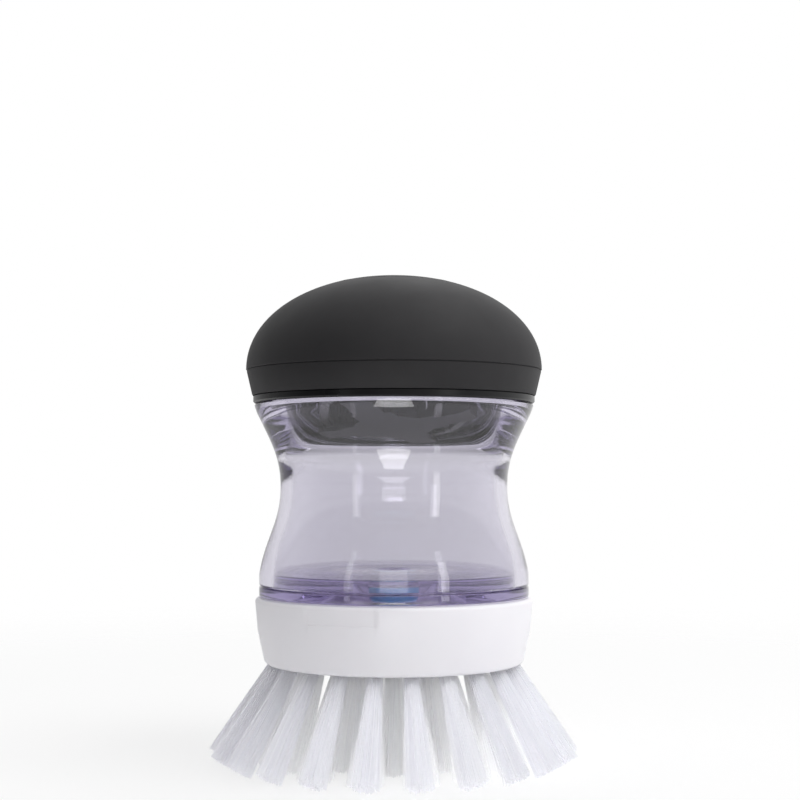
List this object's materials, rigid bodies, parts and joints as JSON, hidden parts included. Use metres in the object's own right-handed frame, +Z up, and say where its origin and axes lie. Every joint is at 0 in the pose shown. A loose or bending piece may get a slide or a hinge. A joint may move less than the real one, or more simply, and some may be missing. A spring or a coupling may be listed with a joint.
{
  "type": "palm brush",
  "caption": "Round palm dish brush: splayed white bristles, clear waisted soap reservoir with a blue valve, and a black domed screw cap with a press button.",
  "frame": {"origin": "on the brush's own axis, in the plane that the bristle ends stand on", "axes": "+Z up along the axis of head, reservoir and cap; +X to the right in the picture's view"},
  "size_m": [0.0752, 0.0744, 0.0994],
  "materials": {
    "soft_grip": "matt soft-touch",
    "black_plastic": "satin moulded",
    "grey_plastic": "satin moulded",
    "seal_rubber": "matt",
    "spring_steel": "bright drawn wire",
    "clear_plastic": "clear polished",
    "blue_silicone": "satin translucent",
    "white_plastic": "semi-gloss moulded",
    "bristle_nylon": "translucent filament"
  },
  "bodies": {
    "brush_head": {"head_block": "white_plastic", "outer_tuft_01": "bristle_nylon", "outer_tuft_02": "bristle_nylon", "outer_tuft_03": "bristle_nylon", "outer_tuft_04": "bristle_nylon", "outer_tuft_05": "bristle_nylon", "outer_tuft_06": "bristle_nylon", "outer_tuft_07": "bristle_nylon", "outer_tuft_08": "bristle_nylon", "outer_tuft_09": "bristle_nylon", "outer_tuft_10": "bristle_nylon", "outer_tuft_11": "bristle_nylon", "outer_tuft_12": "bristle_nylon", "outer_tuft_13": "bristle_nylon", "outer_tuft_14": "bristle_nylon", "outer_tuft_15": "bristle_nylon", "outer_tuft_16": "bristle_nylon", "outer_tuft_17": "bristle_nylon", "outer_tuft_18": "bristle_nylon", "outer_tuft_19": "bristle_nylon", "outer_tuft_20": "bristle_nylon", "outer_tuft_21": "bristle_nylon", "outer_tuft_22": "bristle_nylon", "middle_tuft_01": "bristle_nylon", "middle_tuft_02": "bristle_nylon", "middle_tuft_03": "bristle_nylon", "middle_tuft_04": "bristle_nylon", "middle_tuft_05": "bristle_nylon", "middle_tuft_06": "bristle_nylon", "middle_tuft_07": "bristle_nylon", "middle_tuft_08": "bristle_nylon", "middle_tuft_09": "bristle_nylon", "middle_tuft_10": "bristle_nylon", "middle_tuft_11": "bristle_nylon", "middle_tuft_12": "bristle_nylon", "middle_tuft_13": "bristle_nylon", "middle_tuft_14": "bristle_nylon", "inner_tuft_01": "bristle_nylon", "inner_tuft_02": "bristle_nylon", "inner_tuft_03": "bristle_nylon", "inner_tuft_04": "bristle_nylon", "inner_tuft_05": "bristle_nylon", "inner_tuft_06": "bristle_nylon", "inner_tuft_07": "bristle_nylon", "inner_tuft_08": "bristle_nylon"},
    "valve": {"dispensing_valve": "blue_silicone"},
    "reservoir": {"reservoir_body": "clear_plastic", "base_plate": "clear_plastic", "nozzle_cap": "clear_plastic"},
    "cap_seal": {"cap_gasket": "seal_rubber"},
    "cap": {"cap_shell": "black_plastic", "grip_cover": "soft_grip", "cross_guard": "grey_plastic", "return_spring": "spring_steel"},
    "button": {"push_button": "soft_grip", "piston": "black_plastic", "piston_seal": "seal_rubber"}
  },
  "joints": [
    {"name": "head_pull", "type": "slide", "parent": "brush_head", "child": "valve", "axis": [0, 0, 1], "range_m": [0, 0.02261]},
    {"name": "head_twist", "type": "hinge", "parent": "valve", "child": "reservoir", "pos_m": [0, 0, 0.0305], "axis": [0, 0, 1], "range_deg": [0, 720]},
    {"name": "cap_lift", "type": "slide", "parent": "reservoir", "child": "cap_seal", "axis": [0, 0, 1], "range_m": [0, 0.03241]},
    {"name": "cap_turn", "type": "hinge", "parent": "cap_seal", "child": "cap", "pos_m": [0, 0, 0.079], "axis": [0, 0, 1], "range_deg": [0, 4320]},
    {"name": "button_press", "type": "slide", "parent": "cap", "child": "button", "axis": [0, 0, 1], "range_m": [-0.004, 0], "stiffness_N_per_m": 300, "springref_m": 0.004, "deforming": ["return_spring"]}
  ],
  "couplings": [
    {"joint": "cap_lift", "follows": "cap_turn", "m_per_rad": 0.00042972},
    {"joint": "head_pull", "follows": "head_twist", "m_per_rad": 0.0017985}
  ]
}
